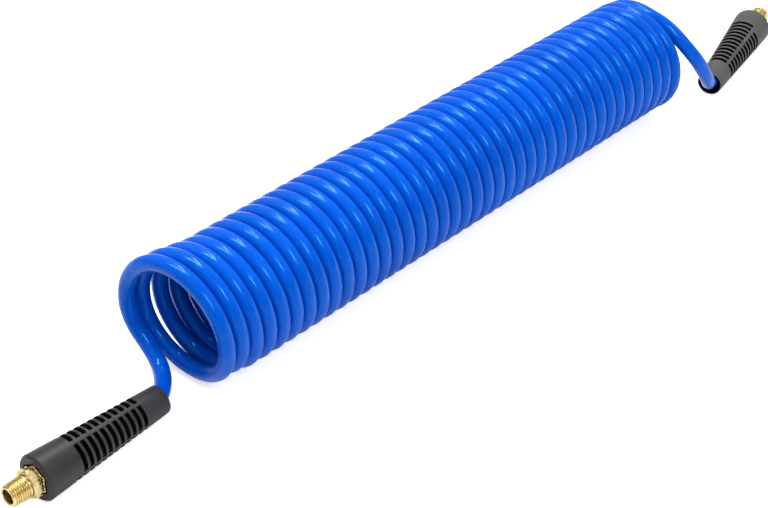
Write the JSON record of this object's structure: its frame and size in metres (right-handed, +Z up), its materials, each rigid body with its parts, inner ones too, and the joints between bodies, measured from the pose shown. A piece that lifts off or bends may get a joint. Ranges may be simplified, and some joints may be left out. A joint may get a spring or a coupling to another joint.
{
  "type": "coiled air hose",
  "caption": "Self-coiling polyurethane air hose with a bend restrictor and a swivel pipe-thread fitting at each end.",
  "frame": {"origin": "on the floor, under the middle of the whole hose at rest", "axes": "+X along the coil from its near end to its far end, +Z up from the floor"},
  "size_m": [0.704, 0.0894, 0.0855],
  "materials": {
    "hose": "glossy translucent polyurethane",
    "restrictor": "moulded, satin",
    "brass": "turned",
    "washer": "sintered bronze",
    "seal": "matte",
    "spring_wire": "drawn"
  },
  "bodies": {
    "hose": {"hose_coil": "hose", "near_hose_tail": "hose", "near_hose_end": "hose", "near_bend_restrictor": "restrictor", "near_barb_stem": "brass", "near_crimp_ferrule": "brass", "near_swivel_washer": "washer", "near_swivel_o_ring": "seal", "near_retaining_ring": "spring_wire"},
    "near_nose": {"near_swivel_nose": "brass"},
    "far_end": {"far_hose_tail": "hose", "far_hose_end": "hose", "far_bend_restrictor": "restrictor", "far_barb_stem": "brass", "far_crimp_ferrule": "brass", "far_swivel_washer": "washer", "far_swivel_o_ring": "seal", "far_retaining_ring": "spring_wire"},
    "far_nose": {"far_swivel_nose": "brass"}
  },
  "joints": [
    {"name": "coil_stretch", "type": "slide", "parent": "hose", "child": "far_end", "axis": [1, 0, 0], "range_m": [0, 2], "stiffness_N_per_m": 2, "deforming": ["hose_coil"]},
    {"name": "near_swivel", "type": "hinge", "parent": "hose", "child": "near_nose", "pos_m": [-0.3372, -0.01414, 0.01437], "axis": [-0.9957, -0.0717, 0.0584], "continuous": true},
    {"name": "far_swivel", "type": "hinge", "parent": "far_end", "child": "far_nose", "pos_m": [0.33672, -0.00864, 0.01437], "axis": [0.9671, 0.2477, 0.0584], "continuous": true}
  ]
}
